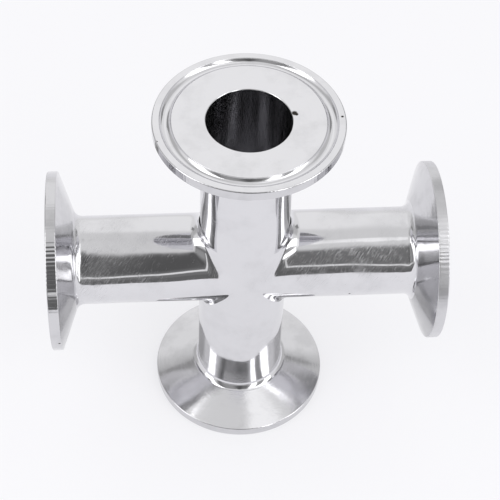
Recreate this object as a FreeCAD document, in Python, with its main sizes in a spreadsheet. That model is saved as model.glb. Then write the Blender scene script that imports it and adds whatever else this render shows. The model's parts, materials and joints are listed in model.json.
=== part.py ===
import FreeCAD, Part
import math
import os
import Sketcher

# Sanitary clamp cross: two equal tubes that cross at right angles, with a clamp ferrule on each of the
# four ends. The run stands along Z, the branch lies along X, and the centre lines cross at the origin.
# Lengths are in millimetres and angles in degrees.

NODE = "clamp_cross"

# alias, value, meaning
SIZES = (
    ("centre_to_face", 54.5, "from the crossing of the centre lines to each sealing face"),
    ("tube_diameter", 25.0, "outside of the tube"),
    ("tube_wall", 1.2, "wall of the tube, which sets the bore"),
    ("flange_diameter", 50.5, "outside of the ferrule's flange"),
    ("rim_thickness", 2.85, "straight rim of the flange, before the clamp slope starts"),
    ("clamp_slope", 20.0, "angle of the flange's back, which the clamp pulls on"),
    ("groove_inset", 3.5, "from the flange's outside to the middle of the gasket groove"),
    ("groove_section", 1.6, "radius of the gasket groove's half-round section"),
    ("groove_flat_count", 5, "flats round the groove's section"),
    ("hub_round", 2.5, "fillet where the flange's back runs into the tube"),
    ("hub_flat_count", 3, "flats round that fillet"),
    ("crotch_round", 3.0, "fillet where the tubes meet"),
    ("arm_count", 4, "arms of the cross, evenly spread about Y"),
)

FULL_TURN = 360
# How near a point lies to where it is looked for
NEAR = Part.Precision.approximation()


def write_sizes(doc):
    """Put the driving sizes into a sheet, one aliased cell each."""
    sheet = doc.addObject("Spreadsheet::Sheet", "sizes")
    for row, (alias, value, meaning) in enumerate(SIZES, start=1):
        sheet.set(f"A{row}", alias)
        sheet.set(f"B{row}", str(value))
        sheet.setAlias(f"B{row}", alias)
        sheet.set(f"C{row}", meaning)
    doc.recompute()
    return sheet


def origin_item(body, role):
    """The body's own origin plane or axis of that role."""
    return next(item for item in body.Origin.OriginFeatures if item.Role == role)


def sketch_on(body, name, role):
    """An empty sketch on one of the body's origin planes."""
    sketch = body.newObject("Sketcher::SketchObject", name)
    sketch.AttachmentSupport = [(origin_item(body, role), "")]
    sketch.MapMode = "FlatFace"
    return sketch


class Outline:
    """A closed chain of lines and arcs in a sketch, each joined to the one before it."""

    START, END, CENTRE = range(1, 4)
    ORIGIN = (-1, 1)

    def __init__(self, sketch):
        self.sketch = sketch
        self.pieces = []

    def constrain(self, kind, *where):
        return self.sketch.addConstraint(Sketcher.Constraint(kind, *where))

    def bind(self, name, expression, kind, *where):
        """Add a dimension and tie it to the sheet."""
        self.sketch.renameConstraint(self.constrain(kind, *where), name)
        self.sketch.setExpression(f"Constraints.{name}", expression)

    def line(self, start, end, direction=None):
        """A straight stretch, which the direction can hold Horizontal or Vertical."""
        piece = self.segment(start, end)
        if direction:
            self.constrain(direction, piece)
        return self.join(piece, self.START, self.END)

    def segment(self, start, end):
        ends = [FreeCAD.Vector(*spot, 0) for spot in (start, end)]
        return self.sketch.addGeometry(Part.LineSegment(*ends), False)

    def round(self, centre, radius, start, end, flats, smooth):
        """A round stretch from one angle to the other, in degrees, made of equal flats.

        Its arc is construction, and smooth makes it tangent to its neighbours. The flats keep the mesh
        light: a turned arc would cost it thousands of facets.
        """
        circle = Part.Circle(FreeCAD.Vector(*centre, 0), FreeCAD.Vector(0, 0, 1), radius)
        low, high = sorted((math.radians(start), math.radians(end)))
        arc = self.sketch.addGeometry(Part.ArcOfCircle(circle, low, high), True)
        entry, leave = (self.START, self.END) if start < end else (self.END, self.START)
        self.join(arc, entry, leave, smooth)

        turns = [math.radians(start + (end - start) * step / flats) for step in range(flats + 1)]
        spots = [(centre[0] + radius * math.cos(turn), centre[1] + radius * math.sin(turn))
                 for turn in turns]
        chords = [self.segment(*ends) for ends in zip(spots, spots[1:])]
        self.constrain("Coincident", chords[0], self.START, arc, entry)
        self.constrain("Coincident", chords[-1], self.END, arc, leave)
        for last, chord in zip(chords, chords[1:]):
            self.constrain("Coincident", last, self.END, chord, self.START)
            self.constrain("PointOnObject", chord, self.START, arc)
            self.constrain("Equal", last, chord)
        return arc

    def corner(self, place, *lines):
        """The sharp corner that a round one replaces, where the dimensions are measured."""
        point = self.sketch.addGeometry(Part.Point(FreeCAD.Vector(*place, 0)), True)
        for piece in lines:
            self.constrain("PointOnObject", point, self.START, piece)
        return point

    def join(self, piece, entry, leave, smooth=False):
        """Join a piece to the last one, smoothly if either asks for that."""
        if self.pieces:
            last, _, last_leave, last_smooth = self.pieces[-1]
            kind = "Tangent" if smooth or last_smooth else "Coincident"
            self.constrain(kind, last, last_leave, piece, entry)
        self.pieces.append((piece, entry, leave, smooth))
        return piece

    def close(self):
        """Join the last piece to the first, which starts at the sketch's origin."""
        first, entry = self.pieces[0][:2]
        last, _, leave, _ = self.pieces[-1]
        self.constrain("Coincident", last, leave, first, entry)
        self.constrain("Coincident", first, entry, *self.ORIGIN)


def draw_arm_profile(body, sizes):
    """Half section of one solid arm: sealing face with its groove, rim, clamp slope, hub and tube."""
    sketch = sketch_on(body, "arm_profile", "XZ_Plane")
    outline = Outline(sketch)
    origin, start, end, centre = outline.ORIGIN, outline.START, outline.END, outline.CENTRE

    face = sizes.centre_to_face
    tube = sizes.tube_diameter / 2
    flange = sizes.flange_diameter / 2
    rim_back = face - sizes.rim_thickness
    slope = sizes.clamp_slope
    slope_drop = (flange - tube) * math.tan(math.radians(slope))
    hub = rim_back - slope_drop

    # The hub's fillet starts this far below the sharp corner of slope and tube
    fillet = sizes.hub_round
    wall_top = hub - fillet * math.tan(math.radians((90 - slope) / 2))
    slope_foot = (tube + fillet - fillet * math.sin(math.radians(slope)),
                  wall_top + fillet * math.cos(math.radians(slope)))

    section = sizes.groove_section
    groove = flange - sizes.groove_inset
    groove_inside = groove - section
    groove_outside = groove + section

    axis = outline.line((0, 0), (0, face), "Vertical")
    inner_land = outline.line((0, face), (groove_inside, face), "Horizontal")
    groove_arc = outline.round((groove, face), section, 180, 360, sizes.groove_flat_count, smooth=False)
    outer_land = outline.line((groove_outside, face), (flange, face), "Horizontal")
    rim = outline.line((flange, face), (flange, rim_back), "Vertical")
    back = outline.line((flange, rim_back), slope_foot)
    hub_arc = outline.round((tube + fillet, wall_top), fillet, 90 + slope, 180, sizes.hub_flat_count,
                            smooth=True)
    wall = outline.line((tube, wall_top), (tube, 0), "Vertical")
    outline.line((tube, 0), (0, 0), "Horizontal")
    outline.close()

    hub_point = outline.corner((tube, hub), back, wall)
    outline.constrain("Horizontal", outer_land, start, inner_land, end)
    outline.constrain("Horizontal", groove_arc, centre, inner_land, end)

    outline.bind("face_height", "sizes.centre_to_face", "DistanceY", *origin, axis, end, face)
    outline.bind("flange_radius", "sizes.flange_diameter / 2", "DistanceX", *origin, rim, start, flange)
    outline.bind("tube_radius", "sizes.tube_diameter / 2", "DistanceX", *origin, wall, start, tube)
    outline.bind("rim_height", "sizes.rim_thickness",
                 "DistanceY", rim, end, rim, start, sizes.rim_thickness)
    outline.bind("slope_drop",
                 "(sizes.flange_diameter - sizes.tube_diameter) / 2 * tan(sizes.clamp_slope)",
                 "DistanceY", hub_point, start, rim, end, slope_drop)
    outline.bind("groove_inset", "sizes.groove_inset",
                 "DistanceX", groove_arc, centre, rim, start, sizes.groove_inset)
    outline.bind("groove_radius", "sizes.groove_section", "Radius", groove_arc, section)
    outline.bind("hub_radius", "sizes.hub_round", "Radius", hub_arc, fillet)
    return sketch


def turn_arm(body, profile):
    """One solid arm, turned about Z."""
    arm = body.newObject("PartDesign::Revolution", "arm")
    arm.Profile = profile
    arm.ReferenceAxis = (profile, ["V_Axis"])
    arm.Angle = FULL_TURN
    profile.Visibility = False
    return finish(body, arm)


def finish(body, feature):
    """Make the feature the body's last one and work out its shape."""
    body.Tip = feature
    body.Document.recompute()
    return feature


def round_edges(body, name, base, wanted, size):
    """Round the base feature's edges that pass the test."""
    edges = [f"Edge{number}" for number, edge in enumerate(base.Shape.Edges, start=1) if wanted(edge)]
    if not edges:
        raise ValueError(f"{name} finds no edge to round")
    fillet = body.newObject("PartDesign::Fillet", name)
    fillet.Base = (base, edges)
    fillet.setExpression("Radius", f"sizes.{size}")
    return finish(body, fillet)


def lies_on(edge, fits):
    """Whether the edge's ends and its middle all pass the test for a point."""
    first, last = edge.ParameterRange
    return all(fits(edge.valueAt(spot)) for spot in (first, (first + last) / 2, last))


def mitre(radius):
    """Test for the curves on which crossing cylinders of that radius meet."""
    def on_mitre(point):
        return (abs(abs(point.x) - abs(point.z)) < NEAR
                and abs(math.hypot(point.x, point.y) - radius) < NEAR)
    return lambda edge: lies_on(edge, on_mitre)


def spread_arms(body):
    """The solid arm four times about Y, which makes the cross."""
    cross = body.newObject("PartDesign::PolarPattern", "four_arms")
    cross.TransformMode = "Whole shape"
    cross.Axis = (origin_item(body, "Y_Axis"), [""])
    cross.Angle = FULL_TURN
    cross.setExpression("Occurrences", "sizes.arm_count")
    return finish(body, cross)


def cut_bore(body, name, role, radius):
    """A bore through both arms that stand on an origin plane."""
    sketch = sketch_on(body, f"{name}_circle", role)
    outline = Outline(sketch)
    circle = Part.Circle(FreeCAD.Vector(0, 0, 0), FreeCAD.Vector(0, 0, 1), radius)
    edge = sketch.addGeometry(circle, False)
    outline.constrain("Coincident", edge, outline.CENTRE, *outline.ORIGIN)
    outline.bind("bore_radius", "sizes.tube_diameter / 2 - sizes.tube_wall", "Radius", edge, radius)

    bore = body.newObject("PartDesign::Pocket", name)
    bore.Profile = sketch
    bore.SideType = "Symmetric"
    bore.Type = "ThroughAll"
    sketch.Visibility = False
    return finish(body, bore)


def build_cross(doc, sizes):
    """The whole cross as one body."""
    body = doc.addObject("PartDesign::Body", NODE)
    body.Label = NODE
    tube = sizes.tube_diameter / 2
    bore = tube - sizes.tube_wall

    turn_arm(body, draw_arm_profile(body, sizes))
    cross = spread_arms(body)
    round_edges(body, "crotch_fillet", cross, mitre(tube), "crotch_round")

    cut_bore(body, "run_bore", "XY_Plane", bore)
    cut_bore(body, "branch_bore", "YZ_Plane", bore)

    body.Placement = FreeCAD.Placement()
    doc.recompute()
    return body


def check(doc, body):
    """Stop before anything is written if a feature failed or the body isn't one sound solid."""
    for item in doc.Objects:
        if "Invalid" in item.State or "Error" in item.State:
            raise RuntimeError(f"{item.Name} failed: {item.State}")
    if body.Shape.isNull() or not body.Shape.isValid():
        raise RuntimeError(f"{body.Label} has no valid shape")
    if len(body.Shape.Solids) != 1:
        raise RuntimeError(f"{body.Label} is {len(body.Shape.Solids)} solids, not one")


def main():
    doc = FreeCAD.newDocument("clamp_cross_model")
    sizes = write_sizes(doc)
    body = build_cross(doc, sizes)
    check(doc, body)

    os.makedirs("parts", exist_ok=True)
    body.Shape.exportStep(f"parts/{body.Label}.step")
    print(f"{body.Label}: {body.Shape.Volume:.1f} cubic millimetres, {len(body.Shape.Faces)} faces")


main()
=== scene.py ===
import json
import math

import bpy
import numpy as np
from mathutils import Matrix, Vector


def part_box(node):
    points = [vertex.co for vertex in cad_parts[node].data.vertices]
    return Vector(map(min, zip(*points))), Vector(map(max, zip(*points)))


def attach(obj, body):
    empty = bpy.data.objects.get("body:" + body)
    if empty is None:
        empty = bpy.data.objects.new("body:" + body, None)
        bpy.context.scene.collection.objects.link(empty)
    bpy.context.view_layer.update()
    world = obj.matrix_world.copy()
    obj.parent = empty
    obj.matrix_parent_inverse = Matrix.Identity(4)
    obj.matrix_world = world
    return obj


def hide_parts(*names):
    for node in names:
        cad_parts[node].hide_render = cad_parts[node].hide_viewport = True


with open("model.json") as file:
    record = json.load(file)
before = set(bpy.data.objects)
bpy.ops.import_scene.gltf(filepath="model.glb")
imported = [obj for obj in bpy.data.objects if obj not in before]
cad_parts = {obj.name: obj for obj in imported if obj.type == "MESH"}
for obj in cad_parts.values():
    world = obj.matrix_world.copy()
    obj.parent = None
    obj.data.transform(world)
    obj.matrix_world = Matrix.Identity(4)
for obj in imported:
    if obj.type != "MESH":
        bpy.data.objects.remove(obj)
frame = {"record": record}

bl_info = {
    "name": "Sanitary clamp cross",
    "version": (1, 0, 0),
    "blender": (4, 5, 0),
    "location": "3D View > Sidebar > Clamp Cross",
    "description": "Polished steel tube cross with four clamp ferrules, in a plain bright studio",
    "category": "Object",
}

NODE = "clamp_cross"

MM = 0.001
ARM_COUNT = 4

# Points this near to each other, in metres, are one
WELD = 1e-8
FULL_CIRCLE = 360.0

# Rows of the round inside and outside the crossing, and how softly the outside one begins
INNER_ROWS, OUTER_ROWS = 6, 20
CORNER_SOFTNESS = 1.1

# Added to the length of each next arm, so that no two arms have the same marks
ARM_OFFSET = 0.2

NUMBER, VECTOR = "NodeSocketFloat", "NodeSocketVector"

# The camera: angles in degrees, its distance, the slide across its view, and its lens in millimetres
CAMERA_AZIMUTH, CAMERA_ELEVATION, CAMERA_ROLL = -5.92, 50.17, 2.776
CAMERA_DISTANCE = 444.57 * MM
CAMERA_SLIDE = (1.8805 * MM, 1.3834 * MM)
CAMERA_LENS = 112.48
SENSOR_WIDTH = 36.0

# Watts from each square metre of a lamp of brightness 1
LAMP_POWER = math.pi

# The dark mat: its height over the floor, and its tone
MAT_LIFT, MAT_TONE = 0.2 * MM, 0.155
TENT_ROWS, TENT_COLUMNS = 32, 64

# Roughness and depth of small marks, such as pits and nicks
MARK_ROUGHNESS, MARK_DEPTH = 0.6, 0.1 * MM

# Chatter marks: their wave's turn for each turn round the rim, and how far a noise shifts it
CHATTER_RATE, CHATTER_DRIFT = 140.0, 14.0

# Radius of the circle that a pattern's way round the arm is laid on, and the slant of the buffing lines
TUBE_CIRCLE, FLANGE_CIRCLE, BORE_CIRCLE = 12.5 * MM, 0.012, 0.0113
SLANT = math.radians(55)

# Down and to the front of the cross: there the clamp slopes of the side arms get painted shade, and their rims
# deeper chatter marks
DOWN_FRONT = (0.0, -0.77, -0.64)

# The cross's finishes, in the order of its material slots
BORE, FACE, RIM, SLOPE, TUBE = range(5)

LOW_CORNER, HIGH_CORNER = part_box(NODE)
BORE_MOUNT = next(m for m in frame["record"]["mounts"] if m["kind"] == "bore")


# Settings that a user would change

class CrossSizes(bpy.types.PropertyGroup):
    """Sizes of the cross, with those that the frame knows taken from it."""

    centre_to_face: bpy.props.FloatProperty(
        name="Centre to face", description="From the crossing to each sealing face",
        default=HIGH_CORNER[2], min=0.03, unit="LENGTH")
    flange_radius: bpy.props.FloatProperty(
        name="Flange radius", description="Outside radius of each clamp flange",
        default=HIGH_CORNER[1], min=0.015, unit="LENGTH")
    bore_radius: bpy.props.FloatProperty(
        name="Bore radius", description="Inside radius of the tube",
        default=BORE_MOUNT["dims"]["r_mm"] * MM, min=0.002, unit="LENGTH")
    tube_wall: bpy.props.FloatProperty(
        name="Tube wall", description="Thickness of the tube's wall", default=1.2 * MM, unit="LENGTH")
    rim_thickness: bpy.props.FloatProperty(
        name="Rim thickness", description="Thickness of the flange at its rim", default=2.85 * MM, unit="LENGTH")
    clamp_slope: bpy.props.FloatProperty(
        name="Clamp slope", description="Slope of the flange's back, where the clamp grips",
        default=math.radians(20), subtype="ANGLE")
    groove_inset: bpy.props.FloatProperty(
        name="Groove inset", description="From the flange's outside to the middle of the gasket groove",
        default=3.5 * MM, unit="LENGTH")
    groove_section: bpy.props.FloatProperty(
        name="Groove section", description="Radius of the groove's round section",
        default=1.65 * MM, unit="LENGTH")
    groove_rise: bpy.props.FloatProperty(
        name="Groove rise", description="From the face up to the centre of the groove's section",
        default=0.55 * MM, unit="LENGTH")
    hub_round: bpy.props.FloatProperty(
        name="Hub round", description="Round between the tube and the flange's back",
        default=2.5 * MM, unit="LENGTH")
    crotch_round: bpy.props.FloatProperty(
        name="Crotch round", description="Rolled round outside, in the corners between the tubes",
        default=3.0 * MM, unit="LENGTH")
    front_round: bpy.props.FloatProperty(
        name="Front round", description="What that round grows to, where the crossing is ground flat in front",
        default=15.0 * MM, unit="LENGTH")
    bore_crotch_round: bpy.props.FloatProperty(
        name="Bore crotch round", description="Rolled round inside, where the bores cross",
        default=0.8 * MM, unit="LENGTH")
    edge_round: bpy.props.FloatProperty(
        name="Edge round", description="Round on the rim's two edges", default=0.3 * MM, unit="LENGTH")
    lip_round: bpy.props.FloatProperty(
        name="Lip round", description="Round on the groove's two lips", default=0.12 * MM, unit="LENGTH")
    mouth_round: bpy.props.FloatProperty(
        name="Mouth round", description="Round on the bore's mouth", default=0.3 * MM, unit="LENGTH")
    columns: bpy.props.IntProperty(
        name="Columns", description="Faces round each arm, a multiple of four", default=192, min=16)


class SteelFinish(bpy.types.PropertyGroup):
    """How the steel is polished, turned and marked."""

    steel: bpy.props.FloatVectorProperty(
        name="Steel", description="Colour of the bare steel", default=(0.742, 0.739, 0.76),
        subtype="COLOR", min=0, max=1)
    dirt: bpy.props.FloatVectorProperty(
        name="Dirt", description="Colour in pits and nicks", default=(0.05, 0.045, 0.04),
        subtype="COLOR", min=0, max=1)
    polish: bpy.props.FloatProperty(
        name="Polish", description="Roughness of the buffed tube", default=0.05, subtype="FACTOR", min=0, max=1)
    turning: bpy.props.FloatProperty(
        name="Turning", description="Roughness of the turned flange", default=0.09, subtype="FACTOR", min=0, max=1)
    bore: bpy.props.FloatProperty(
        name="Bore", description="Roughness of the drawn bore", default=0.19, subtype="FACTOR", min=0, max=1)
    wave_period: bpy.props.FloatProperty(
        name="Wave period", description="Length of the shallow waves that buffing leaves",
        default=14 * MM, unit="LENGTH")
    wave_depth: bpy.props.FloatProperty(
        name="Wave depth", description="Depth of those waves", default=1.2 * MM, unit="LENGTH")


class StudioLook(bpy.types.PropertyGroup):
    """The pale floor, the light tent and the lamps."""

    floor_colour: bpy.props.FloatVectorProperty(
        name="Floor colour", description="Colour of the pale floor", default=(0.80, 0.80, 0.81),
        subtype="COLOR", min=0, max=1)
    background: bpy.props.FloatVectorProperty(
        name="Background", description="Colour of the background and of the floor's glow",
        default=(0.96, 0.957, 0.98), subtype="COLOR", min=0, max=1)
    floor_glow: bpy.props.FloatProperty(
        name="Floor glow", description="Share of the floor's look that the background colour gives",
        default=0.65, subtype="FACTOR", min=0, max=1)
    world_light: bpy.props.FloatProperty(
        name="World light", description="Strength of the world on matt things", default=1.0, min=0)
    floor_span: bpy.props.FloatProperty(
        name="Floor span", description="From the middle of the floor to its edges", default=1.3, unit="LENGTH")
    mat_edge: bpy.props.FloatProperty(
        name="Mat edge", description="From the cross to the dark mat in front of it", default=0.245, unit="LENGTH")
    tent_radius: bpy.props.FloatProperty(
        name="Tent radius", description="Radius of the light tent", default=1.6, unit="LENGTH")


# Surfaces: each gives points and outward normals as arrays of one shape, last axis x, y, z

def turned_round(centre, radius, start, end, rows, hollow=False):
    """Part of a turned section: a round stretch as radius and height from the arm's axis and the crossing.

    Point = centre + radius (cos a, sin a), with a running evenly from start to end, in degrees. The normal is
    (cos a, sin a), or its opposite where the round is hollow.
    """
    turn = np.radians(np.linspace(start, end, rows + 1))
    outward = np.stack([np.cos(turn), np.sin(turn)], axis=1)
    return np.array(centre) + radius * outward, -outward if hollow else outward


def turned_section(sizes):
    """Half section of a ferrule, from the bore's mouth over the sealing face and the rim to the tube's wall.

    Gives points, normals and the finish of the band that ends in each point. Straight bands join the rounds.
    """
    face, flange = sizes.centre_to_face, sizes.flange_radius
    edge, lip, mouth = sizes.edge_round, sizes.lip_round, sizes.mouth_round
    tube = sizes.bore_radius + sizes.tube_wall
    slope = sizes.clamp_slope
    rim_back = face - sizes.rim_thickness

    groove, section = flange - sizes.groove_inset, sizes.groove_section
    rise = sizes.groove_rise
    reach = math.sqrt((section + lip) ** 2 - (rise + lip) ** 2)
    lip_turn = math.degrees(math.atan2(rise + lip, reach))

    # A round between slope and rim or tube starts this share of its radius before their corner
    run_out = math.tan((math.pi / 2 - slope) / 2)
    hub = rim_back - (flange - tube) * math.tan(slope)
    slope_turn = math.degrees(slope)
    rounds = (
        (BORE, FACE, turned_round((sizes.bore_radius + mouth, face - mouth), mouth, 180, 90, 6)),
        (FACE, FACE, turned_round((groove - reach, face - lip), lip, 90, lip_turn, 5)),
        (FACE, FACE, turned_round((groove, face + rise), section, 180 + lip_turn, 360 - lip_turn, 24, hollow=True)),
        (FACE, FACE, turned_round((groove + reach, face - lip), lip, 180 - lip_turn, 90, 5)),
        (FACE, RIM, turned_round((flange - edge, face - edge), edge, 90, 0, 6)),
        (RIM, RIM, turned_round((flange - edge, rim_back + edge * run_out), edge, 0, slope_turn - 90, 5)),
        (SLOPE, TUBE, turned_round((tube + sizes.hub_round, hub - sizes.hub_round * run_out), sizes.hub_round,
                                   90 + slope_turn, 180, 12, hollow=True)),
    )
    points = np.concatenate([stretch[0] for _, _, stretch in rounds])
    normals = np.concatenate([stretch[1] for _, _, stretch in rounds])
    finish = np.concatenate([[before] + [own] * (len(stretch[0]) - 1) for before, own, stretch in rounds])
    return points, normals, finish


def rolled_corner(radius, ball, turn, rows, softness=0.0):
    """Half of the round where equal crossing tubes meet, as a ball rolls along both of them.

    With the tube's radius R, the ball's p at each turn and the angle t round the tube, the ball's centre is
    C = ((R+p) cos t, (R+p) sin t, (R+p) |cos t|). It touches the tube in the direction -(cos t, sin t, 0) and the
    middle plane between the tubes in -(cos t, 2 sin t, |cos t|), and the round is C + p d, with d turning evenly
    from the first to the second. Gives the points and the directions to shade them by, by rows from the tube to
    the middle plane. With softness they start slower than d, the more so as |cos t| falls, as on a round that is
    ground softly into the tube.
    """
    across, up = np.cos(turn), np.sin(turn)
    level = np.abs(across)
    flat = np.zeros_like(across)
    centre = (radius + ball)[:, None] * np.stack([across, up, level], axis=-1)
    touch = -np.stack([across, up, flat], axis=-1)
    middle = -np.stack([across, 2 * up, level], axis=-1)
    middle /= np.linalg.norm(middle, axis=-1, keepdims=True)
    share = np.linspace(0, 1, rows + 1)[:, None, None]
    later = share ** (1 + softness * (1 - level))[:, None]
    towards, shaded = ((1 - part) * touch + part * middle for part in (share, later))
    towards /= np.linalg.norm(towards, axis=-1, keepdims=True)
    shaded /= np.linalg.norm(shaded, axis=-1, keepdims=True)
    return centre + ball[:, None] * towards, shaded


def arm_surface(sizes, columns):
    """The skin of the upright arm: bore, sealing face, groove, rim, clamp slope, hub and tube wall.

    The section's point (r, h) turned by t is (r cos t, r sin t, h). A rolled corner closes the skin at each end,
    inside the bore and outside the tube, on the middle planes that the arm shares with its neighbours. The outer
    ball grows from the crotch round to the front round with 1 - |cos t|. Each point has its place on the arm,
    (cos t, sin t, length along the section from the bore's mouth), and each band of faces its finish.
    """
    turn = 2 * math.pi * np.arange(columns) / columns
    section, slant, finish = turned_section(sizes)
    ring = np.stack([np.cos(turn), np.sin(turn), np.ones_like(turn)], axis=-1)
    turned = section[:, None, [0, 0, 1]] * ring
    facing = slant[:, None, [0, 0, 1]] * ring

    tube = sizes.bore_radius + sizes.tube_wall
    inner_ball = np.full(columns, sizes.bore_crotch_round)
    outer_ball = sizes.crotch_round + (sizes.front_round - sizes.crotch_round) * (1 - np.abs(ring[:, 0]))
    inner, inner_facing = rolled_corner(sizes.bore_radius, inner_ball, turn, INNER_ROWS)
    outer, towards = rolled_corner(tube, outer_ball, turn, OUTER_ROWS, CORNER_SOFTNESS)
    points = np.concatenate([inner[::-1], turned, outer])
    normals = np.concatenate([inner_facing[::-1], facing, -towards])

    steps = np.linalg.norm(np.diff(section, axis=0), axis=1)
    along = np.concatenate([[0], np.cumsum(steps)])[:, None] + np.zeros_like(turn)
    length = np.concatenate([
        inner[::-1, :, 2] - section[0, 1], along, along[-1] + section[-1, 1] - outer[:, :, 2]])
    place = np.stack([ring[None, :, 0] + 0 * length, ring[None, :, 1] + 0 * length, length], axis=-1)

    bands = np.concatenate([np.full(len(inner) - 1, BORE), finish, np.full(len(outer), TUBE)])
    return points, normals, place, np.repeat(bands, 2 * columns)


def turned_about_y(vectors, quarter):
    """The vectors turned by that many quarters about Y, which takes Z to X, with exact whole numbers."""
    x, y, z = np.moveaxis(vectors, -1, 0)
    for _ in range(quarter):
        x, z = z, -x
    return np.stack([x, y, z], axis=-1)


def grid_triangles(rows, columns):
    """Two triangles for each cell of a grid of rows round a closed ring, whose cells face rows x columns."""
    row, column = np.meshgrid(np.arange(rows - 1), np.arange(columns), indexing="ij")
    beside = (column + 1) % columns
    near, far = row * columns, (row + 1) * columns
    first = np.stack([near + column, far + column, far + beside], axis=-1)
    second = np.stack([near + column, far + beside, near + beside], axis=-1)
    return np.stack([first, second], axis=2).reshape(-1, 3)


def welded(points):
    """Points that lie on each other made one: the kept points, and which of them each point stands for."""
    steps = np.round(points / WELD).astype(np.int64)
    _, kept, use = np.unique(steps, axis=0, return_index=True, return_inverse=True)
    return points[kept], use.reshape(-1)


def skin_mesh(name, points, normals, place, finish, triangles):
    """A mesh with smooth normals and an arm_place at each corner, welded where its parts meet."""
    kept, use = welded(points)
    corners = use[triangles]
    whole = np.all(corners != np.roll(corners, 1, axis=1), axis=1)
    corners, triangles, finish = corners[whole], triangles[whole], finish[whole]

    mesh = bpy.data.meshes.new(name)
    mesh.from_pydata(kept, [], corners)
    mesh.polygons.foreach_set("material_index", finish.astype(np.int32))
    mesh.polygons.foreach_set("use_smooth", np.ones(len(corners), dtype=bool))
    attribute = mesh.attributes.new("arm_place", "FLOAT_VECTOR", "CORNER")
    attribute.data.foreach_set("vector", place[triangles].ravel())
    mesh.normals_split_custom_set(normals[triangles].reshape(-1, 3))
    mesh.validate()
    return mesh


def cross_mesh(name, sizes):
    """The whole cross: the upright arm and its copies by quarter turns about Y, welded on their middle planes."""
    points, normals, place, finish = arm_surface(sizes, sizes.columns)
    triangles = grid_triangles(len(points), sizes.columns)
    quarters = range(ARM_COUNT)
    arms = [turned_about_y(points, quarter).reshape(-1, 3) for quarter in quarters]
    facing = [turned_about_y(normals, quarter).reshape(-1, 3) for quarter in quarters]
    apart = [place.reshape(-1, 3) + [0, 0, ARM_OFFSET * quarter] for quarter in quarters]
    joined = [triangles + quarter * points[..., 0].size for quarter in quarters]
    return skin_mesh(name, np.concatenate(arms), np.concatenate(facing), np.concatenate(apart),
                     np.tile(finish, ARM_COUNT), np.concatenate(joined))


# Node trees

def add_node(tree, kind, values=None, **settings):
    """A new node with these settings. Each value goes to the input of its name or number, as a link or a number."""
    made = tree.nodes.new(kind)
    for name, value in settings.items():
        setattr(made, name, value)
    for entry, value in (values or {}).items():
        if isinstance(value, bpy.types.NodeSocket):
            tree.links.new(value, made.inputs[entry])
        else:
            made.inputs[entry].default_value = value
    return made


def reckon(tree, operation, *values):
    """What a Math node makes of the values."""
    return add_node(tree, "ShaderNodeMath", dict(enumerate(values)), operation=operation).outputs[0]


def fade(tree, value, start, end, low=0.0, high=1.0):
    """Goes smoothly from low to high while the value goes from start to end."""
    return add_node(tree, "ShaderNodeMapRange", {0: value, 1: start, 2: end, 3: low, 4: high},
                    interpolation_type="SMOOTHSTEP").outputs[0]


def between(tree, share, first, second):
    """A number that goes from first to second with the share."""
    return add_node(tree, "ShaderNodeMix", {0: share, 2: first, 3: second}, data_type="FLOAT").outputs[0]


def tinted(tree, share, first, second):
    """A colour that goes from first to second with the share."""
    return add_node(tree, "ShaderNodeMix", {0: share, 6: first, 7: second}, data_type="RGBA").outputs[2]


def set_out(tree, vector, scale=(1, 1, 1), turn=(0, 0, 0)):
    """The vector turned and scaled by a Mapping node."""
    return add_node(tree, "ShaderNodeMapping", {"Vector": vector, "Rotation": turn, "Scale": scale}).outputs[0]


def new_group(name, inputs, outputs):
    """An empty node group with named sockets: a kind for each output, a kind and a default for each input."""
    group = bpy.data.node_groups.new(name, "ShaderNodeTree")
    for label, (kind, default) in inputs.items():
        socket = group.interface.new_socket(label, in_out="INPUT", socket_type=kind)
        if default is not None:
            socket.default_value = default
    for label, kind in outputs.items():
        group.interface.new_socket(label, in_out="OUTPUT", socket_type=kind)
    return group, group.nodes.new("NodeGroupInput").outputs, group.nodes.new("NodeGroupOutput").inputs


def placed_group(tree, group, values):
    """The outputs of a node group with these inputs."""
    made = tree.nodes.new("ShaderNodeGroup")
    made.node_tree = group
    for name, value in values.items():
        if isinstance(value, bpy.types.NodeSocket):
            tree.links.new(value, made.inputs[name])
        else:
            made.inputs[name].default_value = value
    return made.outputs


def waves_group():
    """Shallow uneven waves, whose height is a soft noise of one period."""
    group, given, result = new_group(
        "Buffing waves", {"Vector": (VECTOR, None), "Period": (NUMBER, 0.01), "Depth": (NUMBER, 0.0)},
        {"Height": NUMBER})
    noise = add_node(group, "ShaderNodeTexNoise", {
        "Vector": given["Vector"], "Scale": reckon(group, "DIVIDE", 1.0, given["Period"]),
        "Detail": 1.0, "Roughness": 0.4})
    centred = reckon(group, "SUBTRACT", noise.outputs[0], 0.5)
    group.links.new(reckon(group, "MULTIPLY", centred, given["Depth"]), result["Height"])
    return group


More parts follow.
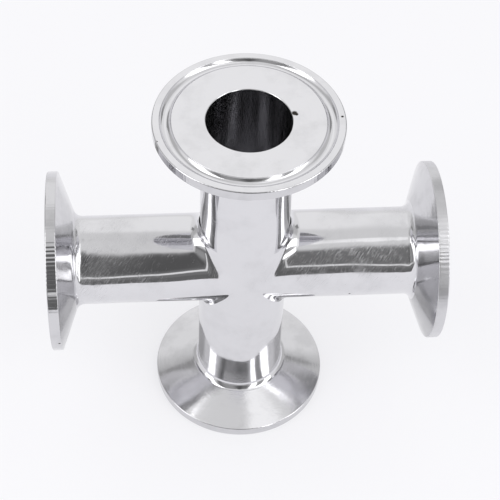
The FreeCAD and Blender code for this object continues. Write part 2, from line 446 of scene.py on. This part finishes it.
def lines_group():
    """Fine lines along the vector's Y: a noise much longer that way, for their height and for a mask.

    The share says how much of the surface they take, and holds back their height.
    """
    group, given, result = new_group(
        "Fine lines",
        {"Vector": (VECTOR, None), "Pitch": (NUMBER, 0.0005), "Run": (NUMBER, 0.01), "Depth": (NUMBER, 0.0),
         "Share": (NUMBER, 0.5)}, {"Height": NUMBER, "Lines": NUMBER})
    across = reckon(group, "DIVIDE", 1.0, given["Pitch"])
    along = reckon(group, "DIVIDE", 1.0, given["Run"])
    stretch = add_node(group, "ShaderNodeCombineXYZ", {0: across, 1: along, 2: across})
    scaled = add_node(group, "ShaderNodeVectorMath", {0: given["Vector"], 1: stretch.outputs[0]},
                      operation="MULTIPLY")
    noise = add_node(group, "ShaderNodeTexNoise", {
        "Vector": scaled.outputs[0], "Scale": 1.0, "Detail": 2.0, "Roughness": 0.55})
    centred = reckon(group, "SUBTRACT", noise.outputs[0], 0.5)
    depth = reckon(group, "MULTIPLY", given["Depth"], given["Share"])
    group.links.new(reckon(group, "MULTIPLY", centred, depth), result["Height"])
    start = reckon(group, "MULTIPLY_ADD", given["Share"], -0.4, 0.72)
    lines = fade(group, noise.outputs[0], start, reckon(group, "ADD", start, 0.1))
    group.links.new(lines, result["Lines"])
    return group


def haze_group():
    """Soft patches where the polish is duller, a share from 0 to 1."""
    group, given, result = new_group(
        "Dull patches", {"Vector": (VECTOR, None), "Size": (NUMBER, 0.01), "Spread": (NUMBER, 0.5)},
        {"Patches": NUMBER})
    noise = add_node(group, "ShaderNodeTexNoise", {
        "Vector": given["Vector"], "Scale": reckon(group, "DIVIDE", 1.0, given["Size"]),
        "Detail": 4.0, "Roughness": 0.6})
    start = reckon(group, "SUBTRACT", 0.85, given["Spread"])
    group.links.new(fade(group, noise.outputs[0], start, reckon(group, "ADD", start, 0.25)), result["Patches"])
    return group


def spot_group():
    """A small round mark: 1 inside its radius about the centre, and 0 outside, with a soft edge."""
    group, given, result = new_group(
        "Small mark", {"Vector": (VECTOR, None), "Centre": (VECTOR, (0.0, 0.0, 0.0)), "Radius": (NUMBER, 0.0005)},
        {"Mark": NUMBER})
    apart = add_node(group, "ShaderNodeVectorMath", {0: given["Vector"], 1: given["Centre"]}, operation="DISTANCE")
    inner = reckon(group, "MULTIPLY", given["Radius"], 0.6)
    outer = reckon(group, "MULTIPLY", given["Radius"], 1.2)
    group.links.new(fade(group, apart.outputs["Value"], outer, inner), result["Mark"])
    return group


class SteelTree:
    """A metal material's tree under way: its coordinates, and the sums of its heights, dullness and marks.

    body and arm are the place on the cross and on the arm. right, sideways and low are distances from the
    crossing: to the right, to either side, and down and to the front.
    """

    def __init__(self, name, groups, look, roughness, tone=1.0, dimmed_by_patches_and_painted_shade=0.93):
        self.material = bpy.data.materials.new(name)
        self.material.use_nodes = True
        self.tree = self.material.node_tree
        self.tree.nodes.clear()
        self.groups = groups
        self.look = look
        self.tone = tone
        self.dimmed_by_patches_and_painted_shade = dimmed_by_patches_and_painted_shade
        # Share of darker colour: dull patches, and on the clamp slope painted shade as well
        self.patches_and_painted_shade = 0.0
        self.body = add_node(self.tree, "ShaderNodeTexCoord").outputs["Object"]
        self.right = add_node(self.tree, "ShaderNodeSeparateXYZ", {0: self.body}).outputs[0]
        self.sideways = reckon(self.tree, "ABSOLUTE", self.right)
        self.low = add_node(self.tree, "ShaderNodeVectorMath", {0: self.body, 1: DOWN_FRONT},
                            operation="DOT_PRODUCT").outputs["Value"]
        self.arm = add_node(self.tree, "ShaderNodeAttribute", attribute_name="arm_place").outputs["Vector"]
        self.height = 0.0
        self.roughness = roughness
        self.marks = 0.0

    def unrolled(self, radius):
        """The skin rolled out flat: the way round the arm from the back, then along it, as at this radius."""
        parts = add_node(self.tree, "ShaderNodeSeparateXYZ", {0: self.arm}).outputs
        turn = reckon(self.tree, "ARCTAN2", parts[0], reckon(self.tree, "MULTIPLY", parts[1], -1.0))
        return add_node(self.tree, "ShaderNodeCombineXYZ", {
            0: reckon(self.tree, "MULTIPLY", turn, radius), 1: parts[2]}).outputs[0]

    def waves(self, vector, period, depth):
        """Adds shallow waves to the height."""
        made = placed_group(self.tree, self.groups["waves"], {"Vector": vector, "Period": period, "Depth": depth})
        self.height = reckon(self.tree, "ADD", self.height, made["Height"])

    def lines(self, vector, pitch, run, depth, dull, share=0.5):
        """Adds fine lines to the height and to the dullness."""
        made = placed_group(self.tree, self.groups["lines"],
                            {"Vector": vector, "Pitch": pitch, "Run": run, "Depth": depth, "Share": share})
        self.height = reckon(self.tree, "ADD", self.height, made["Height"])
        self.dull(made["Lines"], dull)

    def patches(self, vector, size, spread):
        """A share from 0 to 1 in soft patches."""
        return placed_group(self.tree, self.groups["patches"],
                            {"Vector": vector, "Size": size, "Spread": spread})["Patches"]

    def dull(self, share, amount):
        """Adds this amount of roughness where the share is 1."""
        self.roughness = reckon(self.tree, "MULTIPLY_ADD", share, amount, self.roughness)

    def spots(self, places):
        """Small marks, each given as x, y, z and radius in millimetres."""
        for x, y, z, radius in places:
            made = placed_group(self.tree, self.groups["spot"], {
                "Vector": self.body, "Centre": (x * MM, y * MM, z * MM), "Radius": radius * MM})
            self.marks = reckon(self.tree, "MAXIMUM", self.marks, made["Mark"])

    def finish(self):
        """Joins the sums to the shader, and gives back the material."""
        tree = self.tree
        steel = [self.tone * part for part in self.look.steel]
        # Darker where the dull patches lie, and on the clamp slope where the painted shade lies
        dimmed_by_patches_and_painted_shade = tinted(tree, self.patches_and_painted_shade, (*steel, 1), (*(self.dimmed_by_patches_and_painted_shade * part for part in steel), 1))
        colour = tinted(tree, self.marks, dimmed_by_patches_and_painted_shade, (*self.look.dirt, 1))
        rough = between(tree, self.marks, self.roughness, MARK_ROUGHNESS)
        sunk = reckon(tree, "MULTIPLY_ADD", self.marks, -MARK_DEPTH, self.height)
        bump = add_node(tree, "ShaderNodeBump", {"Strength": 1.0, "Distance": 1.0, "Height": sunk})
        shader = add_node(tree, "ShaderNodeBsdfPrincipled", {
            "Base Color": colour, "Metallic": 1.0, "Roughness": rough, "Normal": bump.outputs[0]})
        output = add_node(tree, "ShaderNodeOutputMaterial")
        tree.links.new(shader.outputs[0], output.inputs["Surface"])
        return self.material


def polished_tube(groups, look):
    """Buffed steel: slow waves, crinkles at the hubs, slanting buffing lines and duller patches.

    The lines too fine to be seen one by one make a haze, which is strongest at the left arm's end. Those that
    can be seen are mostly on the right arm.
    """
    steel = SteelTree("polished tube", groups, look, look.polish, 0.985)
    slow = set_out(steel.tree, steel.body, scale=(0.4, 1, 0.4))
    steel.waves(slow, look.wave_period, 2 * look.wave_depth)
    steel.waves(steel.body, 0.25 * look.wave_period, 0.015 * look.wave_depth)
    hub = fade(steel.tree, steel.sideways, 41 * MM, 44.5 * MM, 0.0, 0.1 * MM)
    steel.waves(steel.body, 3 * MM, hub)
    steel.patches_and_painted_shade = steel.patches(steel.body, 13 * MM, 0.42)
    slanted = set_out(steel.tree, steel.unrolled(TUBE_CIRCLE), turn=(0, 0, SLANT))
    worn = fade(steel.tree, steel.right, -14 * MM, -46 * MM, 0.14, 0.48)
    scored = fade(steel.tree, steel.right, 5 * MM, 35 * MM, 0.14, 0.3)
    hazed = reckon(steel.tree, "MAXIMUM", worn, scored)
    fine = reckon(steel.tree, "MULTIPLY_ADD", steel.patches_and_painted_shade, 0.25, hazed)
    coarse = reckon(steel.tree, "MULTIPLY_ADD", steel.patches_and_painted_shade, 0.15, scored)
    steel.lines(slanted, 0.08 * MM, 3 * MM, 0.0, 0.3, fine)
    steel.lines(slanted, 0.3 * MM, 16 * MM, 0.006 * MM, 0.1, coarse)
    steel.dull(steel.patches_and_painted_shade, 0.04)
    steel.spots([(29.52, -11.64, -4.56, 0.32)])
    return steel.finish()


def clamp_slope(groups, look):
    """Turned steel on the flange's back: lines round the axis over slow waves, and painted shade that makes it
    greyer on the side arms, most of all low and to the front.
    """
    steel = SteelTree("clamp slope", groups, look, look.turning, dimmed_by_patches_and_painted_shade=0.6)
    steel.waves(steel.body, 0.9 * look.wave_period, 0.12 * look.wave_depth)
    round_axis = set_out(steel.tree, steel.arm, scale=(FLANGE_CIRCLE, FLANGE_CIRCLE, 1))
    steel.lines(round_axis, 0.4 * MM, 9 * MM, 0.024 * MM, 0.05)
    cloudy = steel.patches(steel.body, 9 * MM, 0.42)
    steel.dull(cloudy, 0.08)
    # Painted shade: the side arms' flange backs greyed, up to three times as much low and to the front
    side = fade(steel.tree, steel.sideways, 30 * MM, 45 * MM, 0.0, 0.28)
    shade = reckon(steel.tree, "MULTIPLY", side, fade(steel.tree, steel.low, 0.0, 8 * MM, 1.0, 3.0))
    steel.patches_and_painted_shade = reckon(steel.tree, "MULTIPLY_ADD", cloudy, 0.26, shade)
    return steel.finish()


def rim_edge(groups, look):
    """The flange's narrow outside, with the tool's chatter marks across it, deepest in front on the side arms."""
    steel = SteelTree("rim edge", groups, look, look.turning, 0.89)
    tree = steel.tree
    parts = add_node(tree, "ShaderNodeSeparateXYZ", {0: steel.arm}).outputs
    angle = reckon(tree, "ARCTAN2", parts[1], parts[0])
    uneven = add_node(tree, "ShaderNodeTexNoise", {"Vector": steel.arm, "Scale": 5.0, "Detail": 2.0}).outputs[0]
    even = reckon(tree, "MULTIPLY", angle, CHATTER_RATE)
    phase = reckon(tree, "MULTIPLY_ADD", uneven, CHATTER_DRIFT, even)
    below = fade(tree, steel.low, -8 * MM, -3 * MM)
    struck = reckon(tree, "MULTIPLY", below, fade(tree, steel.low, 4 * MM, 8 * MM, 1.0, 0.0))
    side = fade(tree, steel.sideways, 30 * MM, 45 * MM, 0.0, 0.024 * MM)
    depth = reckon(tree, "MULTIPLY_ADD", struck, side, 0.005 * MM)
    steel.height = reckon(tree, "MULTIPLY", reckon(tree, "SINE", phase), depth)
    steel.patches_and_painted_shade = steel.patches(steel.body, 6 * MM, 0.42)
    steel.dull(steel.patches_and_painted_shade, 0.06)
    steel.dull(fade(tree, steel.right, 40 * MM, 48 * MM), 0.2)
    steel.spots([(-52.15, -24.48, -6.19, 0.35)])
    return steel.finish()


def sealing_face(groups, look):
    """The turned and lapped face with its groove: faint rings, smudges and a nick beside the bore."""
    steel = SteelTree("sealing face", groups, look, look.turning, 1.04)
    rings = set_out(steel.tree, steel.arm, scale=(FLANGE_CIRCLE, FLANGE_CIRCLE, 1))
    steel.lines(rings, 0.35 * MM, 9 * MM, 0.008 * MM, 0.05)
    steel.waves(steel.body, 0.5 * look.wave_period, 0.1 * look.wave_depth)
    steel.patches_and_painted_shade = steel.patches(steel.body, 9 * MM, 0.4)
    steel.dull(steel.patches_and_painted_shade, 0.08)
    steel.spots([(11.9, 2.1, 54.5, 0.8), (12.4, 1.7, 54.5, 0.5), (24.24, 0.44, 54.5, 0.35),
                 (-24.07, -6.74, 54.5, 0.3)])
    return steel.finish()


def bore_wall(groups, look):
    """The dull inside of the tube, with faint lines along it."""
    steel = SteelTree("bore wall", groups, look, look.bore, 0.72)
    lengthwise = set_out(steel.tree, steel.arm, scale=(BORE_CIRCLE, BORE_CIRCLE, 1), turn=(math.radians(90), 0, 0))
    steel.lines(lengthwise, 0.6 * MM, 40 * MM, 0.02 * MM, 0.06)
    return steel.finish()


def steel_finishes(look):
    """The cross's materials, in the order of its slots."""
    groups = {"waves": waves_group(), "lines": lines_group(), "patches": haze_group(), "spot": spot_group()}
    makers = {BORE: bore_wall, FACE: sealing_face, RIM: rim_edge, SLOPE: clamp_slope, TUBE: polished_tube}
    return [makers[slot](groups, look) for slot in sorted(makers)]


# The studio

def direction(azimuth, elevation):
    """Unit vector from the crossing, in degrees: azimuth 0 is the front and grows to the right, elevation is up."""
    turn, lift = math.radians(azimuth), math.radians(elevation)
    return Vector((math.sin(turn) * math.cos(lift), -math.cos(turn) * math.cos(lift), math.sin(lift)))


def window_group():
    """A soft window in the studio's directions: 1 inside its four edges, and 0 outside."""
    group, given, result = new_group(
        "Soft window",
        {"Azimuth": (NUMBER, 0.0), "Elevation": (NUMBER, 0.0), "Left": (NUMBER, 0.0), "Right": (NUMBER, 0.0),
         "Low": (NUMBER, 0.0), "High": (NUMBER, 0.0), "Softness": (NUMBER, 1.0)}, {"Inside": NUMBER})
    inside = 1.0
    for angle, edges in (("Azimuth", ("Left", "Right")), ("Elevation", ("Low", "High"))):
        for edge, (low, high) in zip(edges, ((0.0, 1.0), (1.0, 0.0))):
            start = reckon(group, "SUBTRACT", given[edge], given["Softness"])
            end = reckon(group, "ADD", given[edge], given["Softness"])
            inside = reckon(group, "MULTIPLY", inside, fade(group, given[angle], start, end, low, high))
    group.links.new(inside, result["Inside"])
    return group


# Parts of the tent's wall: left, right, low and high edge, softness, all in degrees, and tone
TENT_TONES = (
    (165, 195, 10, 56, 6, 1.0),
    (-195, -165, 10, 56, 6, 1.0),
    (-139, -104, -20, 58, 7, 0.55),
    (94, 134, -20, 56, 6, 0.60),
    (-400, 400, 60, 120, 6, 0.79),
    (34, 86, 58, 84, 7, 1.15),
    (-150, -100, 58, 80, 8, 0.50),
    (-52, 22, -90, 62, 8, 0.20),
    (-40, -14, 12, 59, 7, 0.36),
    (-7, 4, 14, 67, 5, 0.11),
    (-40, 30, 5.5, 9.5, 1.5, 1.0),
    (40, 56, -20, 44, 2, 0.42),
)
SIDE_TONE = 0.88

# Cards behind the cross, two hanging and two just over the floor: name, corner and two sides in mm, and tone
CARDS = (
    ("left_card", (-150, 105, 88), (78, 0, 0), (0, 0, 64), 0.32),
    ("right_card", (76, 105, 72), (78, 0, 0), (0, 0, 80), 0.3),
    ("left_low_card", (-150, 60, -54.3), (74, 0, 0), (0, 75, 0), 0.26),
    ("right_low_card", (84, 60, -54.3), (70, 0, 0), (0, 75, 0), 0.3),
)

# Lamps: name, azimuth and elevation of the middle, width and height, in degrees, distance and brightness
LAMPS = (
    ("left softbox", -71.5, 33, 22, 70, 0.62, 1.7),
    ("right softbox", 64.8, 28, 21, 66, 1.33, 1.7),
    ("right strip", 31.5, 25, 12, 62, 0.5, 1.8),
)


def tent_surface(radius, rows, columns):
    """A ball round the crossing: radius times (cos e sin a, -cos e cos a, sin e), with quads facing inwards."""
    lift = np.radians(np.linspace(-90, 90, rows + 1))[1:-1, None]
    turn = np.radians(np.arange(columns) * FULL_CIRCLE / columns)
    ring = radius * np.stack([np.cos(lift) * np.sin(turn), -np.cos(lift) * np.cos(turn),
                              np.sin(lift) + 0 * turn], axis=-1)
    points = np.concatenate([ring.reshape(-1, 3), [[0, 0, -radius], [0, 0, radius]]])
    row, column = np.meshgrid(np.arange(rows - 2), np.arange(columns), indexing="ij")
    beside = (column + 1) % columns
    walls = np.stack([row * columns + column, (row + 1) * columns + column,
                      (row + 1) * columns + beside, row * columns + beside], axis=-1).reshape(-1, 4)
    first = np.arange(columns)
    after = (first + 1) % columns
    low = np.stack([np.full(columns, len(points) - 2), first, after], axis=-1)
    top = (rows - 2) * columns
    high = np.stack([np.full(columns, len(points) - 1), top + after, top + first], axis=-1)
    return points, walls.tolist() + low.tolist() + high.tolist()


def flat_sheet(left, right, front, back, level, count):
    """A level grid of quads: x and y evenly from edge to edge, at one level."""
    x, y = np.meshgrid(np.linspace(left, right, count + 1), np.linspace(front, back, count + 1))
    points = np.stack([x, y, np.full_like(x, level)], axis=-1).reshape(-1, 3)
    row, column = np.meshgrid(np.arange(count), np.arange(count), indexing="ij")
    corner = row * (count + 1) + column
    return points, np.stack([corner, corner + 1, corner + count + 2, corner + count + 1], axis=-1).reshape(-1, 4)


def stage_object(name, points, faces, material):
    """A piece of the stage at the origin, with its place in its mesh."""
    mesh = bpy.data.meshes.new(name)
    mesh.from_pydata(points, [], faces)
    mesh.materials.append(material)
    made = bpy.data.objects.new(name, mesh)
    bpy.context.scene.collection.objects.link(made)
    return made


def only_mirrored(made):
    """Leaves an object of the stage to be seen in polished metal alone."""
    made.visible_camera = made.visible_diffuse = made.visible_shadow = False


def glowing_material(name):
    """A material with an emission shader, its tree and that shader."""
    material = bpy.data.materials.new(name)
    material.use_nodes = True
    material.cycles.emission_sampling = "NONE"
    tree = material.node_tree
    tree.nodes.clear()
    glow = add_node(tree, "ShaderNodeEmission")
    output = add_node(tree, "ShaderNodeOutputMaterial")
    tree.links.new(glow.outputs[0], output.inputs["Surface"])
    return material, tree, glow


def plain_glow(name, tone):
    """A material that glows evenly at one tone."""
    material, _, glow = glowing_material(name)
    glow.inputs["Strength"].default_value = tone
    return material


def hang_card(name, corner, wide, high, tone):
    """A card of one even tone, which only polished metal sees.

    Its points are the corner, and the corner with one side, with both and with the other side added.
    """
    corner, wide, high = (MM * np.array(part) for part in (corner, wide, high))
    points = np.array([corner, corner + wide, corner + wide + high, corner + high])
    only_mirrored(stage_object(name, points, [(0, 1, 2, 3)], plain_glow(name, tone)))


def tent_material():
    """The tent's wall, whose tone goes softly from one part to the next with the direction from the crossing."""
    material, tree, glow = glowing_material("tent wall")
    window = window_group()
    place = add_node(tree, "ShaderNodeTexCoord").outputs["Object"]
    unit = add_node(tree, "ShaderNodeVectorMath", {0: place}, operation="NORMALIZE").outputs[0]
    parts = add_node(tree, "ShaderNodeSeparateXYZ", {0: unit}).outputs
    front = reckon(tree, "MULTIPLY", parts[1], -1.0)
    azimuth = reckon(tree, "DEGREES", reckon(tree, "ARCTAN2", parts[0], front))
    elevation = reckon(tree, "DEGREES", reckon(tree, "ARCSINE", parts[2]))
    tone = SIDE_TONE
    for left, right, low, high, softness, own in TENT_TONES:
        inside = placed_group(tree, window, {
            "Azimuth": azimuth, "Elevation": elevation, "Left": left, "Right": right, "Low": low, "High": high,
            "Softness": softness})["Inside"]
        tone = between(tree, inside, tone, own)
    tree.links.new(tone, glow.inputs["Strength"])
    return material


def seen_directly(tree):
    """1 for rays from the camera, from polished metal and through glass, and 0 for the light on matt things."""
    path = add_node(tree, "ShaderNodeLightPath").outputs
    mirrored = reckon(tree, "MAXIMUM", path["Is Camera Ray"], path["Is Glossy Ray"])
    return reckon(tree, "MAXIMUM", mirrored, path["Is Transmission Ray"])


def floor_material(look):
    """A pale floor: a matt sheet that takes the shadow, under a share of the background's own colour."""
    material = bpy.data.materials.new("pale floor")
    material.use_nodes = True
    material.cycles.emission_sampling = "NONE"
    tree = material.node_tree
    tree.nodes.clear()
    matt = add_node(tree, "ShaderNodeBsdfDiffuse", {"Color": (*look.floor_colour, 1)})
    glow = add_node(tree, "ShaderNodeEmission", {"Color": (*look.background, 1)})
    share = reckon(tree, "MULTIPLY", seen_directly(tree), look.floor_glow)
    mixed = add_node(tree, "ShaderNodeMixShader", {0: share, 1: matt.outputs[0], 2: glow.outputs[0]})
    output = add_node(tree, "ShaderNodeOutputMaterial")
    tree.links.new(mixed.outputs[0], output.inputs["Surface"])
    return material


def light_world(look):
    """The world: even light on matt things, and the pale background where it is seen or mirrored."""
    world = bpy.data.worlds.new("studio")
    bpy.context.scene.world = world
    world.use_nodes = True
    tree = world.node_tree
    tree.nodes.clear()
    strength = between(tree, seen_directly(tree), look.world_light, 1.0)
    glow = add_node(tree, "ShaderNodeBackground", {"Color": (*look.background, 1), "Strength": strength})
    output = add_node(tree, "ShaderNodeOutputWorld")
    tree.links.new(glow.outputs[0], output.inputs["Surface"])


def hang_lamp(name, azimuth, elevation, width, height, distance, brightness):
    """A softbox that faces the crossing. Its size follows from the angle that it fills, seen from there."""
    lamp = bpy.data.lights.new(name, "AREA")
    lamp.shape = "RECTANGLE"
    lamp.size = 2 * distance * math.tan(math.radians(width / 2))
    lamp.size_y = 2 * distance * math.tan(math.radians(height / 2))
    lamp.energy = LAMP_POWER * lamp.size * lamp.size_y * brightness
    made = bpy.data.objects.new(name, lamp)
    made.location = distance * direction(azimuth, elevation)
    made.rotation_euler = (-made.location).to_track_quat("-Z", "Y").to_euler()
    made.visible_camera = False
    bpy.context.scene.collection.objects.link(made)


def aim_camera():
    """The camera at the photograph's place: turned about the crossing, rolled, then slid across its view."""
    turn, lift = math.radians(CAMERA_AZIMUTH), math.radians(CAMERA_ELEVATION)
    back = direction(CAMERA_AZIMUTH, CAMERA_ELEVATION)
    across = Vector((math.cos(turn), math.sin(turn), 0))
    upward = back.cross(across)
    roll = math.radians(CAMERA_ROLL)
    x_axis = math.cos(roll) * across + math.sin(roll) * upward
    y_axis = math.cos(roll) * upward - math.sin(roll) * across
    camera = bpy.data.cameras.new("camera")
    camera.sensor_width = SENSOR_WIDTH
    camera.lens = CAMERA_LENS
    made = bpy.data.objects.new("camera", camera)
    place = CAMERA_DISTANCE * back + CAMERA_SLIDE[0] * x_axis + CAMERA_SLIDE[1] * y_axis
    made.matrix_world = Matrix.Translation(place) @ Matrix((x_axis, y_axis, back)).transposed().to_4x4()
    bpy.context.scene.collection.objects.link(made)
    bpy.context.scene.camera = made


# Operators: one makes the piece, one the stage

class CLAMPCROSS_OT_make_cross(bpy.types.Operator):
    """Makes the polished cross and gives it its finishes"""

    bl_idname = "clamp_cross.make_cross"
    bl_label = "Make the Cross"

    def execute(self, context):
        mesh = cross_mesh("polished_cross", context.scene.clamp_cross_sizes)
        for material in steel_finishes(context.scene.clamp_cross_finish):
            mesh.materials.append(material)
        cross = bpy.data.objects.new("polished_cross", mesh)
        context.scene.collection.objects.link(cross)
        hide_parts(NODE)
        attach(cross, "root")
        return {"FINISHED"}


class CLAMPCROSS_OT_make_studio(bpy.types.Operator):
    """Makes the floor, the light tent, the mat and cards, the lamps and the camera"""

    bl_idname = "clamp_cross.make_studio"
    bl_label = "Make the Studio"

    def execute(self, context):
        look = context.scene.clamp_cross_studio
        level = LOW_CORNER[2]
        span = look.floor_span
        stage_object("floor", *flat_sheet(-span, span, -span, span, level, 8), floor_material(look))

        mat = flat_sheet(-span, span, -span, -look.mat_edge, level + MAT_LIFT, 4)
        only_mirrored(stage_object("front_mat", *mat, plain_glow("front mat", MAT_TONE)))
        tent = tent_surface(look.tent_radius, TENT_ROWS, TENT_COLUMNS)
        only_mirrored(stage_object("light_tent", *tent, tent_material()))
        for card in CARDS:
            hang_card(*card)

        light_world(look)
        for lamp in LAMPS:
            hang_lamp(*lamp)
        aim_camera()
        context.scene.view_settings.view_transform = "Standard"
        return {"FINISHED"}


class CLAMPCROSS_PT_sidebar(bpy.types.Panel):
    """Lists the cross's operators and settings"""

    bl_idname = "CLAMPCROSS_PT_sidebar"
    bl_label = "Clamp Cross"
    bl_space_type = "VIEW_3D"
    bl_region_type = "UI"
    bl_category = "Clamp Cross"

    def draw(self, context):
        for operator in OPERATORS:
            self.layout.operator(operator.bl_idname)
        for name, group in SETTINGS.items():
            box = self.layout.box()
            for entry in group.__annotations__:
                box.prop(getattr(context.scene, name), entry)


OPERATORS = (CLAMPCROSS_OT_make_cross, CLAMPCROSS_OT_make_studio)
SETTINGS = {
    "clamp_cross_sizes": CrossSizes,
    "clamp_cross_finish": SteelFinish,
    "clamp_cross_studio": StudioLook,
}
CLASSES = (*SETTINGS.values(), *OPERATORS, CLAMPCROSS_PT_sidebar)


def register():
    for kind in CLASSES:
        bpy.utils.register_class(kind)
    for name, group in SETTINGS.items():
        setattr(bpy.types.Scene, name, bpy.props.PointerProperty(type=group))


def unregister():
    for name in SETTINGS:
        delattr(bpy.types.Scene, name)
    for kind in reversed(CLASSES):
        bpy.utils.unregister_class(kind)


def main():
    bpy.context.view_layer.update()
    register()
    bpy.ops.clamp_cross.make_cross()
    bpy.ops.clamp_cross.make_studio()


if __name__ == "__main__":
    main()
